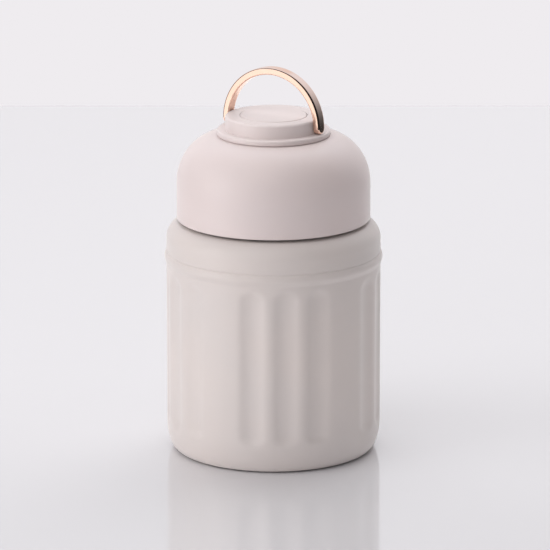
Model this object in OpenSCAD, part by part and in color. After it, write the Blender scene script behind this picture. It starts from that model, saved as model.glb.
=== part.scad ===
// Insulated food jar with a screw-on domed lid, a folding bail handle and a press-to-vent button.
// Millimetres. The origin is the middle of the base, on the table. +Z is up, and -Y is the front:
// the bare land that faces the user. The handle's pivots lie along X.

/* [Jar body] */
// Diameter of the jar over the ridges between its flutes
body_d = 100; // [96:1:108]
// Height of the shoulder above the table
shoulder_z = 109.5; // [104:0.5:130]
// Thickness of the outer shell's sheet
shell_wall = 0.6; // [0.5:0.1:1]
// Radius of the shoulder's round corner
shoulder_r = 8.5; // [5:0.5:8.5]
// How far the rolled base stands in from the wall
base_roll_w = 5; // [3:0.5:6]
// Height of the rolled base
base_roll_h = 13.6; // [10:0.2:16]
// Width of the flat lip that the shell turns in under the base
base_lip = 2.5; // [2:0.5:5]

/* [Flutes and bead] */
// Number of groups of flutes round the jar
flute_groups = 5; // [3:1:6]
// Number of flutes in a group; a bare land as wide as one flute follows each group
flutes_per_group = 3; // [1:1:4]
// Depth of a flute
flute_depth = 1.43; // [1:0.01:1.6]
// Radius of a flute's hollow, seen from above
flute_r = 31.4; // [26:0.2:36]
// Length of a flute's round end
flute_end = 8; // [6:0.5:12]
// Bare height between the rolled base and the flutes
flute_low_gap = 2; // [1:0.5:6]
// Bare height between the flutes and the bead
flute_high_gap = 1.8; // [1:0.1:6]
// Drop from the shoulder to the middle of the bead
bead_drop = 17.5; // [15:0.5:22]
// Height of the bead
bead_h = 6.4; // [4:0.2:8]
// How far the bead stands out from the wall
bead_out = 0.9; // [0.6:0.1:1.4]

/* [Neck and thread] */
// Height of the neck's lip above the shoulder
neck_h = 14.5; // [14:0.5:20]
// Thickness of the neck ring's sheet
neck_wall = 0.8; // [0.6:0.1:1.2]
// Width of the flange at the neck ring's foot, welded under the shoulder
neck_flange = 1.5; // [1:0.1:2.5]
// Distance between neighbouring turns of the thread
thread_pitch = 4; // [3.8:0.1:4.6]
// Number of thread starts
thread_starts = 2; // [1:1:3]
// How far a thread ridge stands out
thread_h = 1.3; // [1:0.1:1.4]
// Width of a thread ridge at its root
thread_root_w = 2.6; // [2:0.1:2.7]
// Width of a thread ridge at its crest
thread_crest_w = 1.3; // [0.8:0.1:1.4]
// Turns that each start of the lid's thread makes
lid_thread_turns = 0.6; // [0.4:0.05:0.7]

/* [Liner and vacuum] */
// Thickness of the inner liner's sheet
liner_wall = 0.6; // [0.5:0.1:1]
// Width of the vacuum gap behind the flutes
vacuum_gap = 2.9; // [2.4:0.1:5]
// Width of the vacuum gap in the neck
neck_gap = 0.5; // [0.4:0.1:1]
// Radius of the liner's bottom corner
liner_corner_r = 12; // [8:0.5:18]
// Drop from the shoulder to the start of the liner's step into the neck
liner_step_drop = 13.6; // [12:0.2:20]
// Thickness of the heat shield's foil
foil_t = 0.2; // [0.1:0.05:0.4]
// Radius of the getter pill
getter_r = 4; // [3:0.5:6]
// Thickness of the getter pill
getter_h = 1.6; // [1:0.1:2]
// Distance of the getter pill from the jar's axis
getter_offset = 20; // [14:1:26]

/* [Base] */
// Height of the foot ring, which lifts the shell off the table
foot_h = 0.4; // [0.3:0.1:3]
// Width of the foot ring
foot_w = 7; // [4:0.5:12]
// How far the foot ring stands in from the edge of the base cap
foot_inset = 1.4; // [0.8:0.1:4]
// Thickness of the disc that closes the vacuum space
base_wall = 0.6; // [0.5:0.1:1]
// How far the middle of that disc is raised
base_rise = 2.8; // [1.5:0.1:4]
// Width of that disc's flat rim
base_rim_w = 6; // [5:0.5:10]
// Depth of the pump-out dimple
dimple_h = 1.2; // [0.8:0.1:1.6]
// Radius of the pump-out dimple
dimple_r = 6; // [5:0.5:9]
// Radius of the pump-out hole
pump_hole_r = 1.2; // [0.8:0.1:2]
// Radius of the solder bead that closes that hole
solder_r = 3.6; // [2.6:0.1:4.4]
// Height of the solder bead
solder_h = 0.7; // [0.4:0.1:0.9]
// Gap between the dimple and the liner's bottom
floor_gap = 2.6; // [2:0.1:5]

/* [Lid] */
// Outer diameter of the lid
lid_d = 90.2; // [86:0.2:90.2]
// Gap between the shoulder and the lid's lower edge
seam_gap = 1.2; // [0.8:0.1:2.5]
// Height of the dome's curve above the lid's straight side
dome_h = 22.5; // [20:0.1:30]
// Wall of the dome
dome_wall = 2; // [1.6:0.1:2.6]
// How far the ledge inside the dome stands in from its wall
ledge_w = 1; // [0.6:0.1:1.6]
// Height of that ledge
ledge_h = 1.2; // [0.8:0.1:2]
// Wall of the inner lid's threaded skirt
skirt_wall = 1.2; // [1:0.1:1.6]
// Height of the skirt's edge above the dome's edge
skirt_lift = 0.7; // [0.4:0.1:2]
// Thickness of the inner lid's ceiling, above the gasket
ceiling_t = 1.5; // [1.2:0.1:2.5]
// How deep the plug reaches below the neck's lip
plug_depth = 16.5; // [14:0.5:20]
// Gap between the plug and the mouth
plug_gap = 0.8; // [0.6:0.1:1.5]
// Wall of the plug
plug_wall = 1.6; // [1.2:0.1:2.2]
// Thickness of the lip gasket
gasket_h = 1.65; // [1.4:0.05:2.5]

/* [Hub] */
// Diameter of the hub's boss
boss_d = 45; // [44:0.2:50]
// Height of the boss above its flange
boss_h = 6.4; // [6.2:0.1:9]
// Thickness of the hub's flange
flange_t = 2.8; // [2.2:0.1:4]
// How far the flange reaches past the folded handle
flange_lip = 0.35; // [0.3:0.05:1.5]
// How far the flange reaches past the dome's flat crown
flange_over = 1.4; // [1:0.1:2]
// Radius of the boss's rounded rim
rim_r = 1.1; // [0.4:0.1:1.2]
// Wall between the button's bore and the rest of the hub
bore_wall = 2; // [1.6:0.1:2.4]
// Height of the hub's floor above the dome's crown
hub_floor_rise = 1.5; // [1.2:0.1:2]
// Thickness of the hub's floor
hub_floor_t = 2; // [1.6:0.1:2.4]
// Depth of the spigot that locates the hub in the dome
spigot_h = 2; // [1.5:0.1:2.4]
// Distance of the screws' axes from the boss's side
screw_inset = 2.1; // [1.8:0.1:2.3]
// Radius of a screw's shank
screw_r = 1.15; // [0.9:0.05:1.3]
// Length of a screw under its head
screw_l = 7.5; // [6:0.5:8]
// Radius of a screw's head
screw_head_r = 2.2; // [2:0.1:2.3]
// Height of a screw's head
screw_head_h = 1.5; // [1.2:0.1:2]
// Radius of the O-ring's section
seal_wire_r = 0.6; // [0.5:0.05:0.65]

/* [Vent] */
// Diameter of the vent button
button_d = 31; // [29:0.5:31]
// How far the button's face stands above the boss's rim
button_proud = 0.2; // [-1.2:0.1:0.5]
// Thickness of the button's face
button_t = 1.4; // [1.2:0.1:2]
// Wall of the button's skirt
button_skirt = 1.4; // [1:0.1:2]
// Travel of the button
vent_travel = 2; // [1:0.1:2]
// Radius of the vent stem
stem_r = 1.4; // [1.2:0.1:1.6]
// Radius of the vent hole round the stem
vent_hole_r = 3; // [2.6:0.1:3.4]
// Wall of the vent tube
tube_wall = 1.6; // [1.2:0.1:2.2]
// Radius of the vent valve
valve_r = 6.5; // [5.5:0.1:8]
// Thickness of the vent valve
valve_h = 1.8; // [1.2:0.1:2.4]
// Radius of the stem clip
clip_r = 3.2; // [2.6:0.1:4]
// Thickness of the stem clip
clip_h = 0.6; // [0.5:0.1:1]
// Mean radius of the vent spring
spring_r = 7.5; // [6:0.1:9]
// Radius of the vent spring's wire
spring_wire_r = 0.35; // [0.25:0.05:0.4]
// Number of turns in the vent spring
spring_turns = 4.5; // [3.5:0.5:5]

/* [Handle] */
// Thickness of the handle's band, seen from its side
bail_t = 3.3; // [2.4:0.1:3.6]
// Width of the handle's band
bail_w = 5.4; // [4.6:0.1:5.8]
// Radius of the band's rounded edges
bail_edge_r = 0.5; // [0.3:0.1:1]
// Radius of a pivot pin
pin_r = 1.5; // [1.2:0.05:1.5]
// Depth of a pivot pin in the handle's end
pin_in_bail = 1.8; // [1.4:0.1:2]
// Length of a pivot bush in the hub
bush_l = 5.4; // [4:0.1:5.8]
// Wall of a pivot bush
bush_wall = 0.65; // [0.5:0.05:0.7]

/* [Clearances] */
// Gap between two pieces that are fixed to each other
fit = 0.1; // [0.05:0.05:0.15]
// Radial clearance of a pin that turns in its bush
running = 0.05; // [0.03:0.01:0.08]
// Gap between a soft or foamed piece and its neighbours
soft = 0.3; // [0.2:0.05:0.4]
// Gap between the gasket and the groove that it turns in
slip = 0.15; // [0.1:0.05:0.25]
// Gap between the crest of one thread and the root of the other
thread_gap = 0.4; // [0.3:0.05:0.5]
// Gap between the handle and the boss beside it
fold_gap = 0.25; // [0.2:0.05:0.6]
// Gap between the folded handle and the flange under it
fold_lift = 0.25; // [0.25:0.05:0.9]
// Gap between the button and its bore
button_gap = 0.25; // [0.15:0.05:0.35]
// Gap round a screw where it passes through the dome
screw_gap = 0.35; // [0.2:0.05:0.4]

/* [Hidden] */
$fn = 128;

coat = [0.83, 0.77, 0.76];
steel = [0.75, 0.76, 0.78];
copper = [0.80, 0.52, 0.38];
rose_gold = [0.90, 0.68, 0.57];
white_plastic = [0.92, 0.91, 0.89];
silicone = [0.82, 0.80, 0.79];
foam = [0.95, 0.92, 0.78];

over = 1;               // how far a cutter reaches past what it cuts
segs = 10;              // straight steps in a quarter of a rounded outline
thread_segs = 40;       // steps in a turn of thread
spring_segs = 24;       // steps in a turn of spring
front = -90;            // direction of the front, as an angle about Z
thread_low_gap = 2.1;   // bare neck between the shoulder and the thread
thread_high_gap = 1.6;  // bare neck between the thread and the lip
seal_inset = 0.3;       // flat crown left outside the O-ring's groove
spare = 0.2;            // how far a flute's cutter reaches past its edge, in degrees

// Levels and radii of the jar
body_r = body_d / 2;
rim_z = foot_h;
base_r = body_r - base_roll_w;
base_open_r = base_r - base_lip;
lip_top_z = rim_z + shell_wall;
roll_top_z = rim_z + base_roll_h;
bead_z = shoulder_z - bead_drop;
bead_r = (pow(bead_h / 2, 2) + pow(bead_out, 2)) / (2 * bead_out);
bead_centre_r = body_r + bead_out - bead_r;
flute_low_z = roll_top_z + flute_low_gap;
flute_high_z = bead_z - bead_h / 2 - flute_high_gap;
flute_pitch = 360 / (flute_groups * (flutes_per_group + 1));
flute_centre_r = body_r - flute_depth + flute_r;
flute_edge = acos((pow(flute_r, 2) + pow(flute_centre_r, 2) - pow(body_r, 2))
    / (2 * flute_r * flute_centre_r));
flute_half = flute_edge + spare;

// Levels and radii of the lid and the neck, worked out from the lid's outside inwards
lid_r = lid_d / 2;
lid_z = shoulder_z + seam_gap;
dome_in_r = lid_r - dome_wall;
skirt_out_r = dome_in_r - fit;
skirt_in_r = skirt_out_r - skirt_wall;
neck_r = skirt_in_r - thread_gap - thread_h;
neck_in_r = neck_r - neck_wall;
liner_neck_r = neck_in_r - neck_gap;
mouth_r = liner_neck_r - liner_wall;
lip_z = shoulder_z + neck_h;
thread_lead = thread_pitch * thread_starts;
thread_foot_z = shoulder_z + thread_low_gap + thread_root_w / 2;
neck_thread_turns = (lip_z - thread_high_gap - thread_root_w / 2 - thread_foot_z) / thread_lead;

// Liner and vacuum space
base_top_z = lip_top_z + base_wall + base_rise;
dimple_z = base_top_z + dimple_h;
liner_z = dimple_z + floor_gap;
liner_r = body_r - shell_wall - flute_depth - vacuum_gap;
liner_step_r = (liner_r - liner_neck_r) / 2;
liner_step_z = shoulder_z - liner_step_drop;

// Inner lid
gasket_z = lip_z + soft;
ceiling_z = gasket_z + gasket_h + slip;
lid_liner_top_z = ceiling_z + ceiling_t;
plug_z = lip_z - plug_depth;
plug_r = mouth_r - plug_gap;
plug_in_r = plug_r - plug_wall;
plug_floor_z = plug_z + plug_wall;
tube_r = vent_hole_r + tube_wall;

// Dome and hub
crown_z = lid_liner_top_z + dome_h;
boss_r = boss_d / 2;
bail_in_r = boss_r + fold_gap;
bail_r = bail_in_r + bail_t;
flange_r = bail_r + flange_lip;
crown_r = flange_r - flange_over;
flange_z = crown_z + flange_t;
boss_z = flange_z + boss_h;
pivot_z = flange_z + fold_lift + bail_w / 2;
bore_r = button_d / 2 + button_gap;
spigot_r = bore_r + bore_wall;
hub_floor_z = crown_z + hub_floor_rise;
hub_under_z = hub_floor_z - hub_floor_t;
spigot_z = crown_z - spigot_h;
tube_top_z = hub_under_z - fit;
screw_z = crown_z - dome_wall;
seal_r = crown_r - seal_inset - fit - seal_wire_r;
screw_ring_r = boss_r - screw_inset;

// Vent
button_z = boss_z + button_proud;
button_under_z = button_z - button_t;
button_foot_z = hub_floor_z + vent_travel + fit;
valve_z = plug_z - soft - valve_h;
stem_top_z = button_under_z - fit;
bush_r = pin_r + running + bush_wall;

// Points along a quarter or other part of an ellipse, as [radius, height] pairs
function bow(r, z, a, b, from, to, steps = segs) =
    [for (i = [0:steps]) let (t = from + (to - from) * i / steps) [r + a * cos(t), z + b * sin(t)]];

// Half outline of the shell, moved in from its outer face by inset
function shell_outline(inset) =
    let (half = acos((body_r - inset - bead_centre_r) / (bead_r - inset)))
    concat(
        [[0, rim_z + inset]],
        bow(base_r, roll_top_z, base_roll_w - inset, base_roll_h - inset, -90, 0),
        bow(bead_centre_r, bead_z, bead_r - inset, bead_r - inset, -half, half),
        bow(body_r - shoulder_r, shoulder_z - shoulder_r, shoulder_r - inset, shoulder_r - inset, 0, 90),
        [[0, shoulder_z - inset]]);

// Half outline of one flute's cutter: its hollow runs out along a parabola at both ends
function flute_outline(grow) =
    let (reach = 1.1, steps = 6)
    concat(
        [[0, flute_low_z - (reach - 1) * flute_end]],
        [for (i = [-steps:0]) let (u = -i / steps * reach)
            [flute_r + grow - flute_depth * u * u, flute_low_z + flute_end * (1 - u)]],
        [for (i = [0:steps]) let (u = i / steps * reach)
            [flute_r + grow - flute_depth * u * u, flute_high_z - flute_end * (1 - u)]],
        [[0, flute_high_z + (reach - 1) * flute_end]]);

// Every flute's cutter, with its hollow grown by the thickness of the sheet. Each is only the wedge
// of its round solid that faces the jar, just wider than the flute, so that neighbours stay apart.
module flutes(grow) {
    for (g = [0:flute_groups - 1], f = [1:flutes_per_group])
        rotate(front + flute_pitch * (g * (flutes_per_group + 1) + f))
            translate([flute_centre_r, 0, 0])
                rotate_extrude(angle = 2 * flute_half, start = 180 - flute_half)
                    polygon(flute_outline(grow));
}

// Triangles that skin a row of rings with n points each, and close its two ends
function skin(rings, n) = concat(
    [for (i = [0:rings - 2], j = [0:n - 1]) [i * n + j, i * n + (j + 1) % n, (i + 1) * n + j]],
    [for (i = [0:rings - 2], j = [0:n - 1])
        [i * n + (j + 1) % n, (i + 1) * n + (j + 1) % n, (i + 1) * n + j]],
    [for (j = [1:n - 2]) [0, j + 1, j]],
    [for (j = [1:n - 2]) [(rings - 1) * n, (rings - 1) * n + j, (rings - 1) * n + j + 1]]);

function flipped(faces) = [for (f = faces) [f[2], f[1], f[0]]];

// One ridge of a right-hand thread on a wall of radius r, out = 1 on an outside wall and -1 on an
// inside one. It rises from z over the given turns and fades out at both ends.
module thread_ridge(r, out, z, turns) {
    steps = ceil(turns * thread_segs);
    fade = 4;       // steps over which an end fades out
    sunk = 0.35;    // how deep the root lies in the wall
    points = [for (i = [0:steps])
        let (h = thread_h * min(1, (i + 0.5) / fade, (steps - i + 0.5) / fade),
             a = 360 * turns * i / steps, level = z + thread_lead * turns * i / steps)
        for (p = [[-sunk, -thread_root_w / 2], [h, -thread_crest_w / 2],
                  [h, thread_crest_w / 2], [-sunk, thread_root_w / 2]])
            [(r + out * p[0]) * cos(a), (r + out * p[0]) * sin(a), level + p[1]]];
    faces = skin(steps + 1, 4);
    polyhedron(points, out > 0 ? faces : flipped(faces));
}

module thread(r, out, z, turns) {
    for (s = [0:thread_starts - 1]) rotate(360 / thread_starts * s) thread_ridge(r, out, z, turns);
}

// Jar body

module outer_shell() {
    color(coat) difference() {
        rotate_extrude() polygon(shell_outline(0));
        flutes(0);
        difference() {
            rotate_extrude() polygon(shell_outline(shell_wall));
            flutes(shell_wall);
        }
        cylinder(r = base_open_r, h = lip_top_z + over);
        translate([0, 0, shoulder_z - shell_wall - over]) cylinder(r = neck_r, h = shell_wall + 2 * over);
    }
}

module neck_ring() {
    foot_z = shoulder_z - shell_wall - neck_wall;
    color(steel) union() {
        rotate_extrude() polygon([
            [neck_in_r, foot_z],
            [neck_r + neck_flange, foot_z],
            [neck_r + neck_flange, foot_z + neck_wall],
            [neck_r, foot_z + neck_wall],
            [neck_r, lip_z - liner_wall],
            [neck_in_r, lip_z - liner_wall]]);
        thread(neck_r, 1, thread_foot_z, neck_thread_turns);
    }
}

// Half outline of the liner's outer face, moved in by inset
function liner_outline(inset) = concat(
    [[0, liner_z + inset]],
    bow(liner_r - liner_corner_r, liner_z + liner_corner_r,
        liner_corner_r - inset, liner_corner_r - inset, -90, 0),
    bow(liner_r - liner_step_r, liner_step_z, liner_step_r - inset, liner_step_r - inset, 0, 90, 6),
    bow(liner_neck_r + liner_step_r, liner_step_z + 2 * liner_step_r,
        -liner_step_r - inset, -liner_step_r - inset, 90, 0, 6));

module inner_liner() {
    color(steel) difference() {
        union() {
            rotate_extrude() polygon(concat(liner_outline(0), [[liner_neck_r, lip_z], [0, lip_z]]));
            translate([0, 0, lip_z - liner_wall]) cylinder(r = neck_r, h = liner_wall);
        }
        rotate_extrude() polygon(concat(liner_outline(liner_wall),
            [[mouth_r, lip_z + over], [0, lip_z + over]]));
    }
}

module heat_shield() {
    low_z = liner_z + liner_corner_r;
    color(copper) translate([0, 0, low_z]) difference() {
        cylinder(r = liner_r + soft + foil_t, h = liner_step_z - low_z);
        translate([0, 0, -over]) cylinder(r = liner_r + soft, h = liner_step_z - low_z + 2 * over);
    }
}

module getter_pill() {
    color("dimgray") translate([getter_offset, 0, liner_z - getter_h]) cylinder(r = getter_r, h = getter_h);
}

// Half outline of the face of the vacuum base that lies at height z at its rim
function vacuum_base_outline(z) = [
    [base_r, z],
    [base_r - base_rim_w, z],
    [base_r - base_rim_w - base_rise, z + base_rise],
    [dimple_r + dimple_h, z + base_rise],
    [dimple_r, z + base_rise + dimple_h],
    [pump_hole_r, z + base_rise + dimple_h]];

module vacuum_base() {
    upper = vacuum_base_outline(lip_top_z + base_wall);
    lower = vacuum_base_outline(lip_top_z);
    color(steel) rotate_extrude()
        polygon(concat(lower, [for (i = [len(upper) - 1:-1:0]) upper[i]]));
}

module vacuum_seal() {
    under_z = dimple_z - base_wall;
    color("silver") rotate_extrude() polygon(concat(
        bow(0, under_z, solder_r, solder_h, -90, 0, 4),
        [[pump_hole_r, under_z], [pump_hole_r, dimple_z], [0, dimple_z]]));
}

module base_cap() {
    color(steel) translate([0, 0, rim_z]) cylinder(r = base_open_r - fit, h = shell_wall);
}

module foot_ring() {
    out_r = base_open_r - fit - foot_inset;
    color(silicone) difference() {
        cylinder(r = out_r, h = foot_h);
        translate([0, 0, -over]) cylinder(r = out_r - foot_w, h = foot_h + 2 * over);
    }
}

// Lid

module lid_dome() {
    edge = 0.5;
    in_a = dome_in_r - crown_r;
    in_b = dome_h - dome_wall;
    color(coat) difference() {
        rotate_extrude() polygon(concat(
            [[0, lid_z], [lid_r - edge, lid_z]],
            bow(lid_r - edge, lid_z + edge, edge, edge, -90, 0, 3),
            bow(crown_r, lid_liner_top_z, lid_r - crown_r, dome_h, 0, 90, 16),
            [[0, crown_z]]));
        rotate_extrude() polygon(concat(
            [[0, lid_z - over], [dome_in_r, lid_z - over], [dome_in_r, lid_liner_top_z],
             [dome_in_r - ledge_w, lid_liner_top_z], [dome_in_r - ledge_w, lid_liner_top_z + ledge_h]],
            bow(crown_r, lid_liner_top_z, in_a, in_b, asin(ledge_h / in_b), 90, 16),
            [[0, crown_z - dome_wall]]));
        translate([0, 0, crown_z - dome_wall - over])
            cylinder(r = spigot_r + fit, h = dome_wall + 2 * over);
        at_screws() translate([0, 0, crown_z - dome_wall - over])
            cylinder(r = screw_r + screw_gap, h = dome_wall + 2 * over);
    }
}

module lid_liner() {
    skirt_z = lid_z + skirt_lift;
    edge = 1;
    color(white_plastic) union() {
        rotate_extrude() polygon([
            [vent_hole_r, plug_z],
            [plug_r - edge, plug_z],
            [plug_r, plug_z + edge],
            [plug_r, ceiling_z],
            [skirt_in_r, ceiling_z],
            [skirt_in_r, skirt_z],
            [skirt_out_r, skirt_z],
            [skirt_out_r, lid_liner_top_z],
            [plug_in_r, lid_liner_top_z],
            [plug_in_r, plug_floor_z],
            [tube_r, plug_floor_z],
            [tube_r, tube_top_z],
            [vent_hole_r, tube_top_z]]);
        thread(skirt_in_r, -1, thread_foot_z + thread_pitch / 2, lid_thread_turns);
    }
}

module lid_foam() {
    a = dome_in_r - crown_r - soft;
    b = dome_h - dome_wall - soft;
    foot_z = plug_floor_z + soft;
    head_z = screw_z - screw_head_h - soft;
    shelf_z = lid_liner_top_z + soft;
    neck_hole_r = tube_r + soft;
    color(foam) rotate_extrude() polygon(concat(
        [[neck_hole_r, foot_z], [plug_in_r - soft, foot_z], [plug_in_r - soft, shelf_z],
         [dome_in_r - ledge_w - soft, shelf_z], [dome_in_r - ledge_w - soft, shelf_z + ledge_h]],
        bow(crown_r, lid_liner_top_z, a, b, asin((ledge_h + soft) / b),
            asin((head_z - lid_liner_top_z) / b), 12),
        [[neck_hole_r, head_z]]));
}

module lip_gasket() {
    color(silicone) translate([0, 0, gasket_z]) difference() {
        cylinder(r = skirt_in_r - slip, h = gasket_h);
        translate([0, 0, -over]) cylinder(r = plug_r + slip, h = gasket_h + 2 * over);
    }
}

// Hub

module at_screws() {
    for (a = [45:90:315]) rotate(a) translate([screw_ring_r, 0, 0]) children();
}

// Hollows under the boss, with solid parts left round the pivots at 0 degrees and the screws at 45
module hub_cores() {
    at_pivot = 16;  // half angle of a solid part round a pivot
    at_screw = 11;  // half angle of a solid part round a screw
    seat = 0.4;     // flat left round the spigot
    in_r = spigot_r + seat;
    out_r = boss_r - bore_wall;
    for (h = [[at_pivot, 45 - at_screw], [45 + at_screw, 135 - at_screw], [135 + at_screw, 180 - at_pivot]])
        for (side = [0, 180]) rotate(side + h[0]) translate([0, 0, crown_z - over])
            rotate_extrude(angle = h[1] - h[0]) translate([in_r, 0])
                square([out_r - in_r, boss_z - bore_wall - crown_z + over]);
}

module handle_hub() {
    edge = 0.9;
    seal_h = 2 * seal_wire_r;
    color(coat) difference() {
        rotate_extrude() polygon(concat(
            [[vent_hole_r, hub_under_z],
             [bore_r, hub_under_z],
             [bore_r, spigot_z],
             [spigot_r, spigot_z],
             [spigot_r, crown_z]],
            bow(flange_r - edge, crown_z + edge, edge, edge, -90, 0, 4),
            bow(flange_r - edge, flange_z - edge, edge, edge, 0, 90, 4),
            [[boss_r, flange_z]],
            bow(boss_r - rim_r, boss_z - rim_r, rim_r, rim_r, 0, 90, 6),
            [[bore_r, boss_z],
             [bore_r, hub_floor_z],
             [vent_hole_r, hub_floor_z]]));
        hub_cores();
        at_screws() translate([0, 0, crown_z - over])
            cylinder(r = screw_r, h = screw_l - dome_wall + 2 * over);
        translate([0, 0, crown_z - over]) difference() {
            cylinder(r = seal_r + seal_wire_r + fit, h = seal_h + over);
            translate([0, 0, -over]) cylinder(r = seal_r - seal_wire_r - fit, h = seal_h + 3 * over);
        }
        for (side = [0, 180]) rotate(side) translate([boss_r - bush_l - fit, 0, pivot_z])
            rotate([0, 90, 0]) cylinder(r = bush_r + fit, h = bush_l + 2 * fit + over);
    }
}

module hub_seal() {
    color("dimgray") translate([0, 0, crown_z + seal_wire_r]) rotate_extrude()
        translate([seal_r, 0]) circle(r = seal_wire_r, $fn = 24);
}

module hub_screws() {
    slot_w = 0.8;
    slot_l = 2.6;
    slot_h = 0.8;
    color("silver") at_screws() difference() {
        union() {
            translate([0, 0, screw_z]) cylinder(r = screw_r, h = screw_l);
            translate([0, 0, screw_z - screw_head_h]) cylinder(r = screw_head_r, h = screw_head_h);
        }
        for (a = [0, 90]) translate([0, 0, screw_z - screw_head_h - over]) rotate(a)
            translate([-slot_l / 2, -slot_w / 2, 0]) cube([slot_l, slot_w, slot_h + over]);
    }
}

// Vent

module vent_button() {
    r = button_d / 2;
    edge = 0.5;
    boss = stem_r + button_skirt;
    color(coat) rotate_extrude() polygon(concat(
        [[0, button_z]],
        bow(r - edge, button_z - edge, edge, edge, 90, 0, 4),
        [[r, button_foot_z],
        [r - button_skirt, button_foot_z],
        [r - button_skirt, button_under_z],
        [boss, button_under_z],
        [boss, button_foot_z],
        [stem_r, button_foot_z],
        [stem_r, button_under_z],
        [0, button_under_z]]));
}

module vent_stem() {
    tail_z = valve_z - clip_h - 0.6;
    collar_r = stem_r + 0.8;
    collar_h = 1;
    color(steel) union() {
        translate([0, 0, tail_z]) cylinder(r = stem_r, h = stem_top_z - tail_z);
        translate([0, 0, plug_z + fit]) cylinder(r = collar_r, h = collar_h);
    }
}

module vent_valve() {
    color(silicone) translate([0, 0, valve_z]) difference() {
        cylinder(r = valve_r, h = valve_h);
        translate([0, 0, -over]) cylinder(r = stem_r, h = valve_h + 2 * over);
    }
}

module stem_clip() {
    mouth = 1.4 * stem_r;
    color(steel) translate([0, 0, valve_z - clip_h]) difference() {
        cylinder(r = clip_r, h = clip_h);
        translate([0, 0, -over]) cylinder(r = stem_r, h = clip_h + 2 * over);
        translate([0, -mouth / 2, -over]) cube([clip_r + over, mouth, clip_h + 2 * over]);
    }
}

// A coil of round wire between the hub's floor and the button, with its end turns lying flat
module vent_spring() {
    n = 8;
    flat = 0.75;
    steps = spring_turns * spring_segs;
    low_z = hub_floor_z + spring_wire_r;
    rise = button_under_z - hub_floor_z - 2 * spring_wire_r;
    points = [for (i = [0:steps])
        let (turn = i / spring_segs, a = 360 * turn,
             z = low_z + rise * min(1, max(0, (turn - flat) / (spring_turns - 2 * flat))))
        for (k = [0:n - 1]) let (r = spring_r + spring_wire_r * cos(360 * k / n))
            [r * cos(a), r * sin(a), z + spring_wire_r * sin(360 * k / n)]];
    color("silver") polyhedron(points, flipped(skin(steps + 1, n)));
}

// Handle

// Right half of the band's section: its width lies along Y and its thickness along X
function band_section(half_w) = concat(
    bow(bail_r - bail_edge_r, half_w - bail_edge_r, bail_edge_r, bail_edge_r, 0, 90, 4),
    bow(bail_in_r + bail_edge_r, half_w - bail_edge_r, bail_edge_r, bail_edge_r, 90, 180, 4));

module bail_handle() {
    half_w = bail_w / 2;
    half = band_section(half_w);
    mirrored = [for (i = [len(half) - 1:-1:0]) [half[i][0], -half[i][1]]];
    end = [for (p = half) [p[1], p[0]]];
    color(rose_gold) translate([0, 0, pivot_z]) difference() {
        union() {
            rotate([90, 0, 0]) rotate_extrude(angle = 180) polygon(concat(half, mirrored));
            for (side = [0, 180]) rotate(side) rotate([0, 90, 0]) rotate([0, 0, -90])
                rotate_extrude(angle = 180) polygon(concat([[0, bail_r]], end, [[0, bail_in_r]]));
        }
        for (side = [0, 180]) rotate(side) translate([bail_in_r - over, 0, 0]) rotate([0, 90, 0])
            cylinder(r = pin_r, h = pin_in_bail + over);
    }
}

module pivot_pins() {
    in_x = boss_r - bush_l + fit;
    color(steel) for (side = [0, 180]) rotate(side) translate([in_x, 0, pivot_z]) rotate([0, 90, 0])
        cylinder(r = pin_r, h = bail_in_r + pin_in_bail - in_x);
}

module pivot_bushes() {
    color(white_plastic) for (side = [0, 180])
        rotate(side) translate([boss_r - bush_l, 0, pivot_z]) rotate([0, 90, 0]) difference() {
            cylinder(r = bush_r, h = bush_l - fit);
            translate([0, 0, -over]) cylinder(r = pin_r + running, h = bush_l + 2 * over);
        }
}

outer_shell();
neck_ring();
inner_liner();
heat_shield();
getter_pill();
vacuum_base();
vacuum_seal();
base_cap();
foot_ring();
lid_dome();
lid_liner();
lid_foam();
lip_gasket();
handle_hub();
hub_seal();
hub_screws();
vent_button();
vent_stem();
vent_valve();
stem_clip();
vent_spring();
bail_handle();
pivot_pins();
pivot_bushes();
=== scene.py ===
# %% [markdown]
# # An insulated food jar
# The jar is a steel vacuum vessel with a soft-touch coat, a screw-on domed lid, a round hub with a
# press-to-vent button, and a swinging handle of polished rose gold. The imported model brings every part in
# its true place, in metres: +Z is up, and the front of the jar faces -Y. This file keeps that frame and
# gives it its looks: smooth surfaces where the eye rests, and a finish for each of its parts.

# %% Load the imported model
import math

import bmesh
import bpy
import numpy as np
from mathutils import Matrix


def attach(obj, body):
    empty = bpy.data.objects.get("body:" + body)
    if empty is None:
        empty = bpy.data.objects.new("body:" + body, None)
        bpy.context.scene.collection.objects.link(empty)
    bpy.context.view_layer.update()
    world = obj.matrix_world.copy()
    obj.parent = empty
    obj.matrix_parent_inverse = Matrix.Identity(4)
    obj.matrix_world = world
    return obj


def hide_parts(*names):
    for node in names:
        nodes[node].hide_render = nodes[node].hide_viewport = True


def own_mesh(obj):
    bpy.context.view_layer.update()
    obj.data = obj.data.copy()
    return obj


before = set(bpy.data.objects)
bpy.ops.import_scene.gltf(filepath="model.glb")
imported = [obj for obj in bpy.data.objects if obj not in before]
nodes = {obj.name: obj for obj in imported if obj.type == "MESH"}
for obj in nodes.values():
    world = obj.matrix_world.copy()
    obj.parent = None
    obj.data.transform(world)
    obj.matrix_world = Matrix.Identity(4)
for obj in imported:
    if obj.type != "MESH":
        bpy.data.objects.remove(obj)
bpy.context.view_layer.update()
scene = bpy.context.scene

# %% [markdown]
# ## Camera
# A long lens from a good two metres away flattens the jar's ellipses, so its proportions read true. The
# camera stands to the right of the jar's front and looks slightly down. One could drag it there by eye,
# but three numbers say it exactly: the angle round the jar, the angle above the table, and the distance to
# the point it aims at. A small shift of the lens moves the picture sideways without turning the view.

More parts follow.
